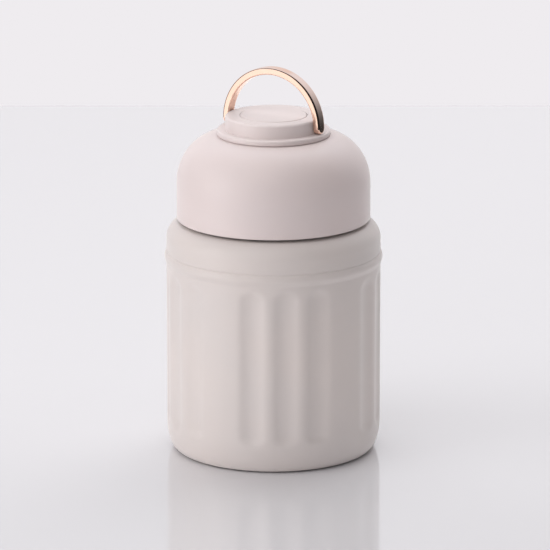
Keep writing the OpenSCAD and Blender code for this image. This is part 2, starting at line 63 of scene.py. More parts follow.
# %% Aim the camera
CAMERA_AZIMUTH = math.radians(31)
CAMERA_ELEVATION = math.radians(14.75)
CAMERA_DISTANCE = 2.3365
AIM_HEIGHT = 0.0826
LENS, SENSOR_WIDTH = 327.3, 36
FRAME_SIDE, SHIFT_PIXELS = 550, 1.5
NEAREST, FARTHEST = 0.1, 50


def on_sphere(azimuth, elevation, distance):
    """Point on a sphere round the aim point: distance x (sin a cos e, -cos a cos e, sin e)."""
    flat = distance * math.cos(elevation)
    height = AIM_HEIGHT + distance * math.sin(elevation)
    return (flat * math.sin(azimuth), -flat * math.cos(azimuth), height)


lens = bpy.data.cameras.new("camera")
lens.sensor_width, lens.lens, lens.shift_x = SENSOR_WIDTH, LENS, SHIFT_PIXELS / FRAME_SIDE
lens.clip_start, lens.clip_end = NEAREST, FARTHEST
camera = bpy.data.objects.new("camera", lens)
camera.location = on_sphere(CAMERA_AZIMUTH, CAMERA_ELEVATION, CAMERA_DISTANCE)
camera.rotation_euler = (math.pi / 2 - CAMERA_ELEVATION, 0, CAMERA_AZIMUTH)
scene.collection.objects.link(camera)
scene.camera = camera
print("camera at", [round(v, 3) for v in camera.location])

# %% [markdown]
# ## Grids and outlines
# Nearly all of this jar was turned, spun or pressed round one axis, so its surfaces are grids: one
# direction runs along an outline, the other round the axis. Blender's own cylinders and a Screw modifier
# could make some of them, but a grid worked out with numpy also takes the flutes, and it puts its rows
# just where the curves need them. Outlines are written in millimetres, as on a drawing, and become metres
# when the grid becomes a piece.

# %% Turn a grid of points into a piece
MM = 0.001
WELD, SLIVER = 1e-7, 1e-8  # metres


def grid_faces(rows, columns, closed_rows):
    """Corner numbers of the quads between neighbouring rows and columns; the columns always close up."""
    row = np.arange(rows if closed_rows else rows - 1)[:, None]
    column = np.arange(columns)[None, :]
    above, beside = (row + 1) % rows * columns, (column + 1) % columns
    here = row * columns
    return np.stack([here + column, here + beside, above + beside, above + column], axis=-1).reshape(-1, 4)


def make_piece(name, points, body, replaced, closed_rows=True, sharp=40):
    """Skins a grid of points in millimetres, rows x columns x 3. Points closer than WELD metres become one,
    which closes poles and seams, and edges shorter than SLIVER metres go. Where two faces meet at more than
    sharp degrees, the light breaks."""
    rows, columns = points.shape[:2]
    mesh = bpy.data.meshes.new(name)
    faces = grid_faces(rows, columns, closed_rows)
    mesh.from_pydata((points.reshape(-1, 3) * MM).tolist(), [], faces.tolist())
    work = bmesh.new()
    work.from_mesh(mesh)
    bmesh.ops.remove_doubles(work, verts=work.verts, dist=WELD)
    bmesh.ops.dissolve_degenerate(work, edges=work.edges, dist=SLIVER)
    bmesh.ops.recalc_face_normals(work, faces=work.faces)
    work.to_mesh(mesh)
    work.free()
    mesh.shade_smooth()
    mesh.set_sharp_from_angle(angle=math.radians(sharp))
    piece = bpy.data.objects.new(name, mesh)
    scene.collection.objects.link(piece)
    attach(piece, body)
    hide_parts(*replaced)
    print(name, len(mesh.vertices), "points,", len(mesh.polygons), "faces")
    return piece


# %% Draw outlines and turn them round the axis
HOLD = 0.15  # how far from an edge an extra row holds the shading of a flat face
TINY = 1e-9  # keeps a step of no length from dividing by zero


def arc(centre, radii, start, end, steps):
    """Points (radius, height) of part of an ellipse: centre + (a cos t, b sin t), for t from start to end
    in degrees."""
    turn = np.radians(np.linspace(start, end, steps + 1))
    return np.stack([centre[0] + radii[0] * np.cos(turn), centre[1] + radii[1] * np.sin(turn)], axis=1)


def held(outline):
    """Adds a point near both ends of each long step of a closed outline, so that flat faces stay flat in
    the light: the ends moved along the step by HOLD millimetres. A long step is over five times that."""
    step = np.roll(outline, -1, axis=0) - outline
    length = np.hypot(step[:, 0], step[:, 1])
    inward = step * (HOLD / np.maximum(length, TINY))[:, None]
    triples = np.stack([outline, outline + inward, outline + step - inward], axis=1)
    is_long = length > 5 * HOLD
    return triples[np.stack([np.full_like(is_long, True), is_long, is_long], axis=1)]


def turned(outline, columns=256):
    """Grid of an outline carried round Z: (r cos t, r sin t, z) for every outline point and every turn t."""
    turn = np.linspace(0, 2 * np.pi, columns, endpoint=False)
    radius, height = outline[:, 0][:, None], outline[:, 1][:, None]
    return np.stack([radius * np.cos(turn), radius * np.sin(turn), height + 0 * turn], axis=-1)


# %% [markdown]
# ## The fluted shell
# The real shell is a tube of stainless steel sheet, 0.6 mm thick. Rollers press a bead into it and leave a
# fine crease above the bead, a tool pushes in the flutes, the lower edge is rolled under, and the shoulder
# is spun inwards to the neck. Cutting flutes with Boolean cylinders gives hard edges, and this coated sheet
# has none. So the radius of the wall is one smooth function of the turn and the height, and a Solidify
# modifier gives the sheet its thickness. The flutes stand in five groups of three. A bare land, as wide as
# a flute, parts the groups.

# %% Bead and flutes as functions
# Heights are counted from the table, turns in degrees from +X towards +Y.
WALL_R = 50.0
BEAD_Z, BEAD_UP, BEAD_DOWN, BEAD_OUT = 92.4, 2.8, 3.3, 0.88
CREASE_Z, CREASE_HALF, CREASE_DEPTH = 95.3, 0.8, 0.22
FLUTE_START, FLUTE_PITCH, FLUTE_DEPTH, FLUTE_TURNS = -88.35, 18.0, 1.28, 0.6
FLUTE_LOW, FLUTE_HIGH, END_LOW, END_HIGH = 18.0, 82.0, 6.0, 6.8
SLOTS_PER_GROUP = 4


def bead(height):
    """How far the wall stands out at the bead: a parabola above its crest, and below it half a cosine wave
    that fades into the wall. The crease above the bead is one whole cosine wave, taken off."""
    up = np.clip((height - BEAD_Z) / BEAD_UP, 0, 1)
    down = np.clip((BEAD_Z - height) / BEAD_DOWN, 0, 1)
    crease = np.clip(np.abs(height - CREASE_Z) / CREASE_HALF, 0, 1)
    return (BEAD_OUT * np.where(height > BEAD_Z, 1 - up**2, 0.5 * (1 + np.cos(np.pi * down)))
            - CREASE_DEPTH * 0.5 * (1 + np.cos(np.pi * crease)))


def flute(turn, height):
    """How deep a flute lies at the distance u from its middle line, where u is 1 at the flute's edge and,
    past the straight part, also 1 at its tip. With c for FLUTE_TURNS, the hollow is depth x (1 - u^2 / c)
    up to u = c, and its rounded edge is depth x (1 - u)^2 / (1 - c) beyond. Every fourth slot is a bare
    land."""
    slot = (np.degrees(turn) - FLUTE_START) / FLUTE_PITCH
    across = 2 * (slot - np.round(slot))
    beyond = np.maximum((height - FLUTE_HIGH) / END_HIGH, (FLUTE_LOW - height) / END_LOW)
    reach = np.minimum(np.hypot(across, np.maximum(beyond, 0)), 1)
    hollow, edge = 1 - reach**2 / FLUTE_TURNS, (1 - reach) ** 2 / (1 - FLUTE_TURNS)
    depth = np.where(reach < FLUTE_TURNS, hollow, edge)
    is_land = np.round(slot) % SLOTS_PER_GROUP == 0
    return np.where(is_land, 0, FLUTE_DEPTH * depth)


# %% Build the shell
SHEET = 0.6
SHELL_TOP, SHELL_MOUTH_R, SHOULDER_ROLL = 109.5, 40.1, 8.5
RIM_Z, RIM_R, BASE_ROLL_OUT, BASE_ROLL_UP = 0.4, 42.5, 5.0, 13.6


def wall_rows(start, end, steps):
    """Points straight down the wall, from one height to the other."""
    return np.stack([np.full(steps + 1, WALL_R), np.linspace(start, end, steps + 1)], axis=1)


def shell_points(columns=440):
    """Grid of the shell: each outline point (r, z) is carried round Z, and r grows by the bead and
    shrinks by the flute at that turn and height. Rows lie close where the wall curves."""
    shoulder_r, base_r = WALL_R - SHOULDER_ROLL, WALL_R - BASE_ROLL_OUT
    outline = np.concatenate([
        [[SHELL_MOUTH_R, SHELL_TOP], [40.8, SHELL_TOP]],
        arc((shoulder_r, SHELL_TOP - SHOULDER_ROLL), (SHOULDER_ROLL, SHOULDER_ROLL), 90, 0, 16),
        wall_rows(99, 96.5, 2),  # plain wall
        wall_rows(96.2, 94.2, 12),  # crease
        wall_rows(93.85, 88.95, 14),  # bead
        wall_rows(88.6, 82.0, 16),  # upper ends of the flutes
        wall_rows(76, 25, 5),  # straight part of the flutes
        wall_rows(18.3, 14.3, 10),  # lower ends of the flutes
        arc((base_r, RIM_Z + BASE_ROLL_UP), (BASE_ROLL_OUT, BASE_ROLL_UP), 0, -90, 16),
        [[44.2, RIM_Z], [43.2, RIM_Z], [RIM_R, RIM_Z]],
    ])
    turn = np.radians(FLUTE_START) + np.linspace(0, 2 * np.pi, columns, endpoint=False)[None, :]
    height = outline[:, 1][:, None]
    radius = outline[:, 0][:, None] + bead(height) - flute(turn, height)
    return np.stack([radius * np.cos(turn), radius * np.sin(turn), height + 0 * turn], axis=-1)


shell = make_piece("fluted_shell", shell_points(), "jar", ["outer_shell"],
                   closed_rows=False, sharp=60)
sheet = shell.modifiers.new("sheet", "SOLIDIFY")
sheet.thickness, sheet.offset, sheet.use_even_offset = SHEET * MM, -1, True

# %% [markdown]
# ## The domed lid
# The dome is one moulding: a straight side, then a quarter of an ellipse up to a small flat crown, where
# the hub sits in a hole. Its wall is 2 mm thick, with a ledge inside on which the inner lid is welded. Its
# outline is closed, outside and inside, so that the turned grid is a real wall that can be seen from below.

# %% Build the dome
DOME_R, DOME_WALL, CROWN_R, HUB_HOLE_R = 45.1, 2.0, 25.0, 17.85
SEAM_Z, SEAM_EDGE, STRAIGHT_TOP, DOME_UP = 110.7, 0.5, 127.6, 22.5
LEDGE_R, LEDGE_TOP, LEDGE_TURN = 42.1, 128.8, 3.3
CROWN_Z = STRAIGHT_TOP + DOME_UP
dome_out, dome_in = DOME_R - CROWN_R, DOME_R - CROWN_R - DOME_WALL
dome_outline = np.concatenate([
    arc((DOME_R - SEAM_EDGE, SEAM_Z + SEAM_EDGE), (SEAM_EDGE, SEAM_EDGE), -90, 0, 6),
    arc((CROWN_R, STRAIGHT_TOP), (dome_out, DOME_UP), 0, 90, 48),
    [[HUB_HOLE_R, CROWN_Z], [HUB_HOLE_R, CROWN_Z - DOME_WALL]],
    arc((CROWN_R, STRAIGHT_TOP), (dome_in, DOME_UP - DOME_WALL), 90, LEDGE_TURN, 32),
    [[LEDGE_R, LEDGE_TOP], [LEDGE_R, STRAIGHT_TOP]],
    [[DOME_R - DOME_WALL, STRAIGHT_TOP], [DOME_R - DOME_WALL, SEAM_Z]],
])
dome = make_piece("dome", turned(held(dome_outline)), "lid", ["lid_dome"])

# %% [markdown]
# ## The vent button
# The button is a shallow cap in the hub's bore and stands a hair proud of its rim. Pressed down 2 mm, it
# opens the valve under the lid and lets steam out. Its rounded edge and the thin gap round it are all that
# shows. Inside, a short tube takes the stem. The outline starts and ends on the axis, so the first and last
# rows shrink to poles that are welded.

# %% Build the button
BUTTON_R, BUTTON_TOP, BUTTON_EDGE, BUTTON_FOOT = 15.5, 159.5, 0.4, 153.7
BUTTON_UNDER, SKIRT_R, TUBE_R, STEM_HOLE_R = 158.1, 14.1, 2.8, 1.4
button_outline = np.concatenate([
    [[radius, BUTTON_TOP] for radius in (0, 6, 12, BUTTON_R - BUTTON_EDGE - HOLD)],
    arc((BUTTON_R - BUTTON_EDGE, BUTTON_TOP - BUTTON_EDGE), (BUTTON_EDGE, BUTTON_EDGE), 90, 0, 8),
    [[BUTTON_R, BUTTON_TOP - BUTTON_EDGE - HOLD], [BUTTON_R, BUTTON_FOOT + HOLD]],
    [[BUTTON_R - HOLD, BUTTON_FOOT], [SKIRT_R + HOLD, BUTTON_FOOT], [SKIRT_R, BUTTON_FOOT + HOLD]],
    [[SKIRT_R, BUTTON_UNDER - HOLD], [SKIRT_R - HOLD, BUTTON_UNDER]],
    [[TUBE_R + HOLD, BUTTON_UNDER], [TUBE_R, BUTTON_UNDER - HOLD], [TUBE_R, BUTTON_FOOT]],
    [[STEM_HOLE_R, BUTTON_FOOT], [STEM_HOLE_R, BUTTON_UNDER], [0, BUTTON_UNDER]],
])
button = make_piece("button_cap", turned(button_outline, 192), "vent", ["vent_button"],
                    closed_rows=False)

# %% [markdown]
# ## The handle
# A flat band of metal is bent to a half circle, its edges are rounded over, and its ends are cut to full
# rounds about the pivots. A curve with a bevel would make the arch, but not its round ends. So the band is
# laid out flat in the mind: a long strip with half-round ends. One direction of the grid runs round the
# strip's outline, the other goes from the middle of the outer face over the rounded edge to the middle of
# the inner face. Then the strip is bent round the pivots' axis.

# %% Build the handle
PIVOT_Z = 155.85
BAND_IN_R, BAND_OUT_R, BAND_HALF_W, BAND_EDGE = 22.75, 26.05, 2.7, 0.75


def band_points(steps=150, end_steps=18, edge_steps=8):
    """Grid of the bent band. Round the strip: turn (-90 to 90 degrees along the arch) and the pair
    (down, across), which is (0, 1) and (0, -1) along the sides and turns through the half-round ends.
    Across the strip: reach from the middle line and radius r of the arch. A point is
    (r sin turn, reach across, pivot + r cos turn - reach down)."""
    along = np.linspace(-np.pi / 2, np.pi / 2, steps + 1)
    end = np.linspace(0, np.pi, end_steps + 1)[1:-1]
    turn = np.concatenate([along, np.full(end.size, np.pi / 2), along[::-1], np.full(end.size, -np.pi / 2)])
    down = np.concatenate([0 * along, np.sin(end), 0 * along, np.sin(end)])
    across = np.concatenate([0 * along + 1, np.cos(end), 0 * along - 1, -np.cos(end)])
    flat = BAND_HALF_W - BAND_EDGE
    outer = arc((flat, BAND_OUT_R - BAND_EDGE), (BAND_EDGE, BAND_EDGE), 90, 0, edge_steps)
    inner = arc((flat, BAND_IN_R + BAND_EDGE), (BAND_EDGE, BAND_EDGE), 0, -90, edge_steps)
    section = np.concatenate([
        [[0, BAND_OUT_R], [flat - HOLD, BAND_OUT_R]], outer,
        [[BAND_HALF_W, (BAND_IN_R + BAND_OUT_R) / 2]],
        inner, [[flat - HOLD, BAND_IN_R], [0, BAND_IN_R]]])
    reach, radius = section[:, 0][:, None], section[:, 1][:, None]
    height = PIVOT_Z + radius * np.cos(turn) - reach * down
    return np.stack([radius * np.sin(turn), reach * across, height], axis=-1)


handle = make_piece("handle_band", band_points(), "handle", ["bail_handle"],
                    closed_rows=False)

# %% [markdown]
# ## The return spring
# Inside the hub, a coil of spring wire stands between the hub's floor and the button and pushes the button
# up again. A curve with a bevel would make the wire too, but a grid is light and exact: one direction runs
# along the helix, the other round the wire.

# %% Coil the spring
SPRING_R, WIRE_R, SPRING_LOW, SPRING_HIGH = 7.5, 0.35, 151.6, BUTTON_UNDER
SPRING_TURNS, FLAT_TURNS, PRESS_DEPTH = 4.5, 0.75, 2.0


def spring_points(steps_per_turn=40, round_steps=12):
    """Grid of the coil. After the turn t, the wire's middle is at the radius R and the height m, which
    rises evenly between the flat end turns; a point at the angle p round a wire of radius w is
    ((R + w cos p) cos t, (R + w cos p) sin t, m + w sin p). Both ends close with a row where w is 0."""
    turns = np.pad(np.linspace(0, SPRING_TURNS, int(SPRING_TURNS * steps_per_turn) + 1), 1, "edge")
    wire_r = np.pad(np.full(turns.size - 2, WIRE_R), 1)[:, None]
    rise = np.clip((turns - FLAT_TURNS) / (SPRING_TURNS - 2 * FLAT_TURNS), 0, 1)
    middle = (SPRING_LOW + WIRE_R + (SPRING_HIGH - SPRING_LOW - 2 * WIRE_R) * rise)[:, None]
    turn = 2 * np.pi * turns[:, None]
    round_wire = np.linspace(0, 2 * np.pi, round_steps, endpoint=False)[None, :]
    radius, height = SPRING_R + wire_r * np.cos(round_wire), middle + wire_r * np.sin(round_wire)
    return np.stack([radius * np.cos(turn), radius * np.sin(turn), height], axis=-1)


spring = make_piece("return_spring", spring_points(), "lid", ["vent_spring"],
                    closed_rows=False)
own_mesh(spring)

# %% [markdown]
# ## Shader maths in plain expressions
# A material is a small network of nodes. Wiring Math nodes by hand hides the idea, so a value that varies
# over a surface is wrapped in a small class: adding, multiplying or subtracting two values makes the Math
# node. Any other node comes from one method, which sets it up and feeds its sockets.

# %% Wrap sockets and nodes
class Value:
    """One output socket of a finish; + - * make Math nodes, also with a plain number on the left."""

    def __init__(self, finish, socket):
        self.finish, self.socket = finish, socket

    def math(self, operation, first, second):
        return self.finish.node("ShaderNodeMath", {"operation": operation}, {0: first, 1: second})

    def __add__(self, other):
        return self.math("ADD", self, other)

    def __radd__(self, other):
        return self.math("ADD", other, self)

    def __sub__(self, other):
        return self.math("SUBTRACT", self, other)

    def __rsub__(self, other):
        return self.math("SUBTRACT", other, self)

    def __mul__(self, other):
        return self.math("MULTIPLY", self, other)

    def __rmul__(self, other):
        return self.math("MULTIPLY", other, self)


class Finish:
    """A material being made. node() adds any node, the other methods name the common ones. Sizes are in
    millimetres, coordinates in metres."""

    def __init__(self, name, **fixed):
        self.material = bpy.data.materials.new(name)
        self.material.use_nodes = True
        self.tree = self.material.node_tree
        self.surface = self.tree.nodes["Principled BSDF"]
        for socket, value in fixed.items():
            self.surface.inputs[socket.replace("_", " ")].default_value = value
        self.point = self.node("ShaderNodeTexCoord", output="Object")

    def node(self, kind, settings=None, inputs=None, output=0):
        """Adds a node of this kind, sets it up, feeds its sockets and gives one of its outputs."""
        made = self.tree.nodes.new(kind)
        for key, value in (settings or {}).items():
            setattr(made, key, value)
        for key, value in (inputs or {}).items():
            self.feed(made.inputs[key], value)
        return Value(self, made.outputs[output])

    def feed(self, socket, value):
        """Links a value to a socket, or writes a plain number, vector or colour on it."""
        if isinstance(value, Value):
            self.tree.links.new(value.socket, socket)
        else:
            socket.default_value = value

    def noise(self, size, detail=2.0, where=None):
        """Soft cloudy pattern, about 0 to 1, whose blotches are size millimetres across."""
        inputs = {"Vector": where or self.point, "Scale": 1 / (size * MM), "Detail": detail}
        return self.node("ShaderNodeTexNoise", None, inputs)

    def cells(self, size):
        """Pebbles of size millimetres: the distance to the nearest pebble's middle."""
        inputs = {"Vector": self.point, "Scale": 1 / (size * MM)}
        return self.node("ShaderNodeTexVoronoi", None, inputs, "Distance")

    def between(self, value, low, high):
        """0 below low, 1 above high and a straight rise between them."""
        return self.node("ShaderNodeMapRange", None, {"Value": value, "From Min": low, "From Max": high})

    def blend(self, mask, first, second):
        """A colour that goes from first to second as the mask goes from 0 to 1."""
        made = self.tree.nodes.new("ShaderNodeMix")
        made.data_type = "RGBA"
        ends = [(*colour, 1) if isinstance(colour, tuple) else colour for colour in (first, second)]
        for name, kind, value in (("Factor", "VALUE", mask), ("A", "RGBA", ends[0]), ("B", "RGBA", ends[1])):
            self.feed(next(s for s in made.inputs if s.name == name and s.type == kind), value)
        return Value(self, next(s for s in made.outputs if s.type == "RGBA"))

    def split(self):
        """The three coordinates of the point, in metres."""
        apart = self.tree.nodes.new("ShaderNodeSeparateXYZ")
        self.feed(apart.inputs[0], self.point)
        return [Value(self, socket) for socket in apart.outputs]

    def radius(self):
        """Distance from the jar's axis, in metres."""
        flat = self.node("ShaderNodeVectorMath", {"operation": "MULTIPLY"}, {0: self.point, 1: (1, 1, 0)})
        return self.node("ShaderNodeVectorMath", {"operation": "LENGTH"}, {0: flat}, "Value")

    def stretched(self, x, y, z):
        """The point with each coordinate multiplied, which draws a pattern out along the small ones."""
        return self.node("ShaderNodeVectorMath", {"operation": "MULTIPLY"}, {0: self.point, 1: (x, y, z)})

    def paint(self, colour, roughness=None, height=None, depth=0.01, strength=1.0):
        """Feeds the surface: a colour, a roughness, and a relief whose full height is depth millimetres."""
        self.feed(self.surface.inputs["Base Color"], colour)
        if roughness is not None:
            self.feed(self.surface.inputs["Roughness"], roughness)
        if height is not None:
            relief = {"Height": height, "Distance": depth * MM, "Strength": strength}
            bump = self.node("ShaderNodeBump", None, relief, "Normal")
            self.feed(self.surface.inputs["Normal"], bump)
        return self.material


def dress(material, *pieces):
    """Gives pieces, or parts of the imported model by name, one material."""
    for piece in pieces:
        owner = nodes[piece] if isinstance(piece, str) else piece
        owner.data.materials.clear()
        owner.data.materials.append(material)
    print(material.name, "on", len(pieces), "pieces")


# %% [markdown]
# ## Soft-touch coat
# Jar, lid and hub wear a matt, slightly rubbery paint in a warm greyish pink, each from its own batch: the
# lid is a touch pinker than the jar, and the hub a touch lighter than the lid. It is not one flat colour:
# its film is thicker here and thinner there, a very fine grain scatters the light, a faint sheen lightens
# it at grazing angles, and hands polish the places that stand proud. Broad noise tints and dulls it, two
# sizes of fine noise make the grain, and a mask on the radius or the height finds the proud places.

# %% Mix the coats
SHELL_PINK, LID_PINK, HUB_PINK = (0.597, 0.537, 0.517), (0.648, 0.558, 0.547), (0.689, 0.603, 0.591)
FILM_SIZE, SPECKLE_SIZE, FINE_SIZE = 38, 0.55, 0.16
WARM, COOL, DUSTY = (1.012, 1.0, 0.992), (0.975, 0.98, 0.985), (0.94, 0.94, 0.94)
COAT_RELIEF = 0.5


def tinted(colour, factors):
    """A colour with each of its channels multiplied."""
    return tuple(channel * factor for channel, factor in zip(colour, factors))


def soft_touch(name, colour, roughness):
    """Matt coat: colour and roughness drift with broad noise, and a fine grain roughens its surface."""
    finish = Finish(name, Specular_IOR_Level=0.5, Sheen_Weight=0.2, Sheen_Roughness=0.4)
    film = finish.noise(FILM_SIZE, 3)
    speckle = finish.noise(SPECKLE_SIZE, 2)
    fine = finish.noise(FINE_SIZE, 1)
    tone = finish.blend(finish.between(film, 0.3, 0.7), tinted(colour, WARM), tinted(colour, COOL))
    dusty = finish.blend(finish.between(speckle, 0.62, 0.8) * 0.5, tone, tinted(colour, DUSTY))
    return finish, dusty, roughness + 0.05 * film + 0.04 * speckle, 0.55 * speckle + 0.45 * fine


shell_finish, tone, rough, relief = soft_touch("shell_soft_touch", SHELL_PINK, 0.42)
bead_polish = shell_finish.between(shell_finish.radius(), 0.0504, 0.0509)
dress(shell_finish.paint(tone, rough - 0.06 * bead_polish, relief, 0.012, COAT_RELIEF), shell)

lid_finish, tone, rough, relief = soft_touch("lid_soft_touch", LID_PINK, 0.40)
crown_polish = lid_finish.between(lid_finish.split()[2], 0.140, CROWN_Z * MM)
dress(lid_finish.paint(tone, rough - 0.05 * crown_polish, relief, 0.009, COAT_RELIEF), dome)

hub_finish, tone, rough, relief = soft_touch("hub_soft_touch", HUB_PINK, 0.38)
touched = hub_finish.between(hub_finish.radius(), 0.0148, 0.0100)
dress(hub_finish.paint(tone, rough - 0.05 * touched, relief, 0.009, COAT_RELIEF), button, "handle_hub")

# %% [markdown]
# ## Polished rose gold
# The handle is plated and buffed. A perfect mirror looks computed, so the roughness wanders a little, fine
# buffing lines run along the band, and the colour deepens slightly where the polish is duller. The lines
# are noise that is stretched round the arch: it changes quickly with the radius and across the width, and
# hardly at all along the band.

# %% Polish the handle
ROSE_BRIGHT, ROSE_DEEP = (0.93, 0.655, 0.525), (0.90, 0.62, 0.49)
ACROSS, ALONG = 6, 0.12  # how fast the lines change across the band and along it

gold_finish = Finish("polished_rose_gold", Metallic=1.0)
x_axis, y_axis, _ = gold_finish.split()
pivots = (0, 0, PIVOT_Z * MM)
arch = gold_finish.node("ShaderNodeVectorMath", {"operation": "SUBTRACT"}, {0: gold_finish.point, 1: pivots})
arch_flat = gold_finish.node("ShaderNodeVectorMath", {"operation": "MULTIPLY"}, {0: arch, 1: (1, 0, 1)})
arch_radius = gold_finish.node("ShaderNodeVectorMath", {"operation": "LENGTH"}, {0: arch_flat}, "Value")
lines_at = gold_finish.node("ShaderNodeCombineXYZ", None,
                            {0: arch_radius * ACROSS, 1: y_axis * ACROSS, 2: x_axis * ALONG})
lines = gold_finish.noise(0.9, 3, lines_at)
cloud = gold_finish.noise(7, 2)
rose = gold_finish.blend(gold_finish.between(cloud, 0.3, 0.7), ROSE_BRIGHT, ROSE_DEEP)
rose_gold = gold_finish.paint(rose, 0.06 + 0.06 * cloud + 0.04 * lines, lines, 0.0015, 0.25)
dress(rose_gold, handle)

# %% [markdown]
# ## Steel, turned and drawn
# The neck, the inner vessel and the base are stainless steel that turned on a lathe while it was brushed,
# so its fine lines run round the axis. Noise that depends on the radius and the height alone draws just
# such rings. The spring, the screws and the clip are drawn wire instead: noise that changes faster up the
# jar than across it makes their fine scratches, and a second one the faint tint that heat leaves.

# %% Brush the steel
STEEL_DARK, STEEL_BRIGHT = (0.56, 0.555, 0.55), (0.68, 0.675, 0.67)
WIRE_WARM, WIRE_PALE = (0.50, 0.48, 0.45), (0.62, 0.62, 0.63)

steel_finish = Finish("turned_steel", Metallic=1.0)
height_up = steel_finish.split()[2]
rings_at = steel_finish.node("ShaderNodeCombineXYZ", None, {0: steel_finish.radius(), 1: 0.0, 2: height_up})
rings = steel_finish.noise(0.35, 4, rings_at)
broad_rings = steel_finish.noise(3, 2, rings_at)
smudge = steel_finish.noise(16, 3)
steel_mask = steel_finish.between(0.6 * rings + 0.4 * smudge, 0.35, 0.7)
steel_tone = steel_finish.blend(steel_mask, STEEL_DARK, STEEL_BRIGHT)
steel_relief = 0.7 * rings + 0.3 * broad_rings
steel = steel_finish.paint(steel_tone, 0.24 + 0.10 * rings + 0.08 * smudge, steel_relief, 0.006, 0.5)
dress(steel, "neck_ring", "inner_liner", "vacuum_base", "base_cap", "vent_stem", "pivot_pins")

wire_finish = Finish("spring_wire", Metallic=1.0)
scratches = wire_finish.noise(0.12, 3, wire_finish.stretched(1, 1, 4))
heat = wire_finish.noise(4, 2)
wire_tone = wire_finish.blend(heat, WIRE_WARM, WIRE_PALE)
wire = wire_finish.paint(wire_tone, 0.18 + 0.12 * scratches, scratches, 0.004, 0.4)
dress(wire, spring, "hub_screws", "stem_clip")

# %% [markdown]
# ## Inside the vacuum
# A copper-coloured foil sleeve throws heat back, a pill of getter metal keeps the vacuum, and a bead of
# solder closes the hole through which the air was pumped out. Foil is never flat: large cells make its
# facets and noise its creases. Getter metal is pressed powder, so it gets grains and pores. Solder froze
# while it ran, and so it has soft ripples and a stain of flux.

# %% Foil, getter and solder
FOIL_DEEP, FOIL_BRIGHT = (0.82, 0.44, 0.27), (0.92, 0.56, 0.38)
GETTER_DARK, GETTER_PALE = (0.10, 0.10, 0.105), (0.22, 0.22, 0.23)
SOLDER_CLEAN, SOLDER_STAINED = (0.62, 0.62, 0.64), (0.36, 0.33, 0.27)

foil_finish = Finish("copper_foil", Metallic=1.0)
facets = foil_finish.cells(6)
creases = foil_finish.noise(2.2, 4)
foil_tone = foil_finish.blend(creases, FOIL_DEEP, FOIL_BRIGHT)
foil = foil_finish.paint(foil_tone, 0.2 + 0.2 * creases, 0.6 * facets + 0.4 * creases, 0.25, 0.7)
dress(foil, "heat_shield")

getter_finish = Finish("sintered_getter", Metallic=0.7)
grains = getter_finish.cells(0.25)
pores = getter_finish.noise(0.7, 3)
getter_tone = getter_finish.blend(getter_finish.between(pores, 0.35, 0.65), GETTER_DARK, GETTER_PALE)
getter = getter_finish.paint(getter_tone, 0.6 + 0.25 * pores, 0.7 * grains + 0.3 * pores, 0.06, 0.8)
dress(getter, "getter_pill")

solder_finish = Finish("solder_bead", Metallic=1.0)
ripples = solder_finish.noise(1.6, 2)
stain = solder_finish.noise(2.6, 3)
solder_tone = solder_finish.blend(solder_finish.between(stain, 0.5, 0.75), SOLDER_CLEAN, SOLDER_STAINED)
solder = solder_finish.paint(solder_tone, 0.28 + 0.2 * stain, ripples, 0.08, 0.6)
dress(solder, "vacuum_seal")

# %% [markdown]
# ## Silicone, plastic, foam and rubber
# The gasket, the valve and the foot ring are silicone: dull, a little dusty, with the fine grain of their
# mould. The inner lid is a natural white moulding whose gloss wanders with the flow of the plastic. The
# foam in the dome is full of small pores, and the black O-ring shows the grain of its rubber.

# %% Silicone and white plastic
SILICONE_CLEAN, SILICONE_DUSTY = (0.57, 0.52, 0.51), (0.66, 0.62, 0.61)
PLASTIC_PALE, PLASTIC_DULL = (0.76, 0.745, 0.72), (0.70, 0.68, 0.65)

silicone_finish = Finish("silicone", Specular_IOR_Level=0.4)
dust = silicone_finish.noise(1.1, 4)
patch = silicone_finish.noise(11, 2)
dust_mask = silicone_finish.between(dust, 0.55, 0.75) * 0.6
silicone_tone = silicone_finish.blend(dust_mask, SILICONE_CLEAN, SILICONE_DUSTY)
silicone = silicone_finish.paint(silicone_tone, 0.5 + 0.12 * patch + 0.08 * dust, dust, 0.012, 0.5)
dress(silicone, "foot_ring", "lip_gasket", "vent_valve")

plastic_finish = Finish("white_moulding", Specular_IOR_Level=0.5)
flow = plastic_finish.noise(14, 3, plastic_finish.stretched(1, 1, 0.35))
orange_peel = plastic_finish.noise(0.8, 2)
plastic_tone = plastic_finish.blend(plastic_finish.between(flow, 0.3, 0.7), PLASTIC_PALE, PLASTIC_DULL)
plastic = plastic_finish.paint(plastic_tone, 0.26 + 0.12 * flow, 0.6 * orange_peel + 0.4 * flow, 0.015, 0.4)
dress(plastic, "lid_liner", "pivot_bushes")

# %% Foam and rubber
FOAM_PIT_PAINTED_SHADE, FOAM_CREAM = (0.55, 0.47, 0.30), (0.84, 0.78, 0.58)
RUBBER_BLACK, RUBBER_BLOOM = (0.012, 0.012, 0.013), (0.04, 0.04, 0.042)

foam_finish = Finish("insulating_foam", Specular_IOR_Level=0.25)
pits = foam_finish.cells(0.9)
clumps = foam_finish.noise(5, 3)
# painted shade: the foam's colour darkens in the pits, where the bump sinks, standing in for shade in the
# pores
foam_tone = foam_finish.blend(foam_finish.between(pits, 0.15, 0.5), FOAM_PIT_PAINTED_SHADE, FOAM_CREAM)
foam = foam_finish.paint(foam_tone, 0.85 + 0.1 * clumps, 0.8 * pits + 0.2 * clumps, 0.25, 0.8)
dress(foam, "lid_foam")

rubber_finish = Finish("black_rubber", Specular_IOR_Level=0.4)
bloom = rubber_finish.noise(1.5, 3)
pebble = rubber_finish.noise(0.2, 2)
rubber_tone = rubber_finish.blend(rubber_finish.between(bloom, 0.5, 0.8), RUBBER_BLACK, RUBBER_BLOOM)
rubber = rubber_finish.paint(rubber_tone, 0.55 + 0.15 * bloom, pebble, 0.01, 0.5)
dress(rubber, "hub_seal")
